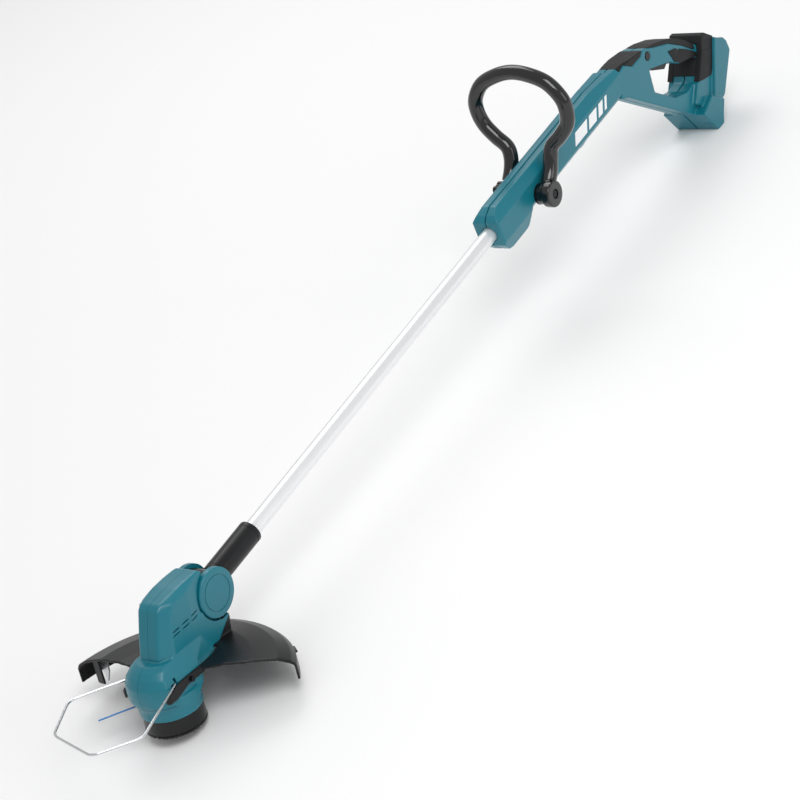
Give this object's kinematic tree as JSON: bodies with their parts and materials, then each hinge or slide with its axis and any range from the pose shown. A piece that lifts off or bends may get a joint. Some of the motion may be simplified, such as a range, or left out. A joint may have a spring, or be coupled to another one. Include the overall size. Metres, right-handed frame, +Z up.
{
  "type": "string trimmer",
  "caption": "Long-shaft battery string trimmer with a tilting motor head, line spool under a guard, wire plant guard, loop handle and a trigger grip.",
  "frame": {"origin": "centre of the rear foot's resting face, on the floor", "axes": "+X back along the tool towards the battery end, +Y to the operator's right, +Z up; the tool lies on its foot and on the bump cap"},
  "size_m": [1.5346, 0.2668, 0.3122],
  "materials": {
    "tube": "satin anodised",
    "teal_shell": "moulded, fine texture",
    "black_plastic": "moulded",
    "gloss_black": "glossy",
    "soft_rubber": "overmoulded, textured",
    "nylon_line": "translucent blue",
    "steel": "bright",
    "die_cast": "as cast",
    "gear_nylon": "moulded",
    "brass": "turned",
    "board": "potted board"
  },
  "bodies": {
    "tool": {"shaft_tube": "tube", "lower_sleeve": "black_plastic", "pivot_drum": "die_cast", "supply_lead": "soft_rubber", "front_housing_left": "teal_shell", "front_housing_right": "teal_shell", "front_housing_screws": "steel", "handle_washers": "black_plastic", "rear_housing_left": "teal_shell", "rear_housing_right": "teal_shell", "rear_housing_screws": "steel", "grip_rubber": "soft_rubber", "grip_pad": "soft_rubber", "rear_boot": "soft_rubber", "switch_body": "black_plastic", "controller_board": "board", "terminal_block": "black_plastic", "terminal_contacts": "brass", "trigger_spring": "steel", "lock_off_spring": "steel"},
    "head": {"head_housing_left": "teal_shell", "head_housing_right": "teal_shell", "head_screws": "steel", "pivot_pin": "steel", "tilt_detent_spring": "steel", "motor_can": "steel", "motor_end_bell": "black_plastic", "gear_cover": "die_cast", "gear_case": "die_cast", "motor_screws": "steel", "motor_lead": "soft_rubber", "bearing_outer_rings": "steel", "bearing_balls": "steel", "guard": "black_plastic", "guard_screws": "steel", "line_cutter": "steel", "line_cutter_screw": "steel"},
    "rotor": {"motor_shaft": "steel", "pinion": "brass"},
    "spool": {"spindle": "steel", "spur_gear": "gear_nylon", "bearing_inner_rings": "steel", "spool_housing": "black_plastic", "spool_cover": "black_plastic", "line_reel": "black_plastic", "line_winding": "nylon_line", "line_eyelet": "steel", "bump_spring": "steel", "cutting_line": "nylon_line"},
    "bump": {"bump_cap": "black_plastic"},
    "wire": {"wire_guard": "steel"},
    "loop": {"loop_handle": "gloss_black", "loop_bolt": "steel"},
    "knob": {"loop_knob": "black_plastic", "knob_nut": "brass"},
    "trigger": {"trigger": "black_plastic"},
    "lock_off": {"lock_off_button": "black_plastic"}
  },
  "joints": [
    {"name": "head_tilt", "type": "hinge", "parent": "tool", "child": "head", "pos_m": [-1.19901, 0, 0.1069], "axis": [0, 1, 0], "range_deg": [0, 60]},
    {"name": "spool_spin", "type": "hinge", "parent": "head", "child": "spool", "pos_m": [-1.30351, 0, 0.03891], "axis": [0.1586, 0, 0.9874], "continuous": true},
    {"name": "rotor_spin", "type": "hinge", "parent": "head", "child": "rotor", "pos_m": [-1.26991, 0, 0.08415], "axis": [0.1586, 0, 0.9874], "continuous": true},
    {"name": "bump_press", "type": "slide", "parent": "spool", "child": "bump", "axis": [0.1586, 0, 0.9874], "range_m": [0, 0.005], "stiffness_N_per_m": 3000, "springref_m": -0.01, "deforming": ["bump_spring"]},
    {"name": "wire_guard_flip", "type": "hinge", "parent": "head", "child": "wire", "pos_m": [-1.31088, 0, 0.0725], "axis": [0, 1, 0], "range_deg": [0, 90]},
    {"name": "loop_tilt", "type": "hinge", "parent": "tool", "child": "loop", "pos_m": [-0.43019, 0, 0.14995], "axis": [0, 1, 0], "range_deg": [-35, 45]},
    {"name": "loop_knob_turn", "type": "hinge", "parent": "loop", "child": "knob", "pos_m": [-0.43019, 0, 0.14995], "axis": [0, 1, 0], "continuous": true},
    {"name": "trigger_pull", "type": "hinge", "parent": "tool", "child": "trigger", "pos_m": [-0.09148, 0, 0.14908], "axis": [0, -1, 0], "range_deg": [0, 7], "stiffness_Nm_per_rad": 0.6, "springref_deg": -11.46, "deforming": ["trigger_spring"]},
    {"name": "lock_off_press", "type": "slide", "parent": "tool", "child": "lock_off", "axis": [0, 1, 0], "range_m": [0, 0.004], "stiffness_N_per_m": 400, "springref_m": -0.003, "deforming": ["lock_off_spring"]}
  ],
  "couplings": [
    {"joint": "rotor_spin", "follows": "spool_spin", "ratio": -2.25}
  ]
}
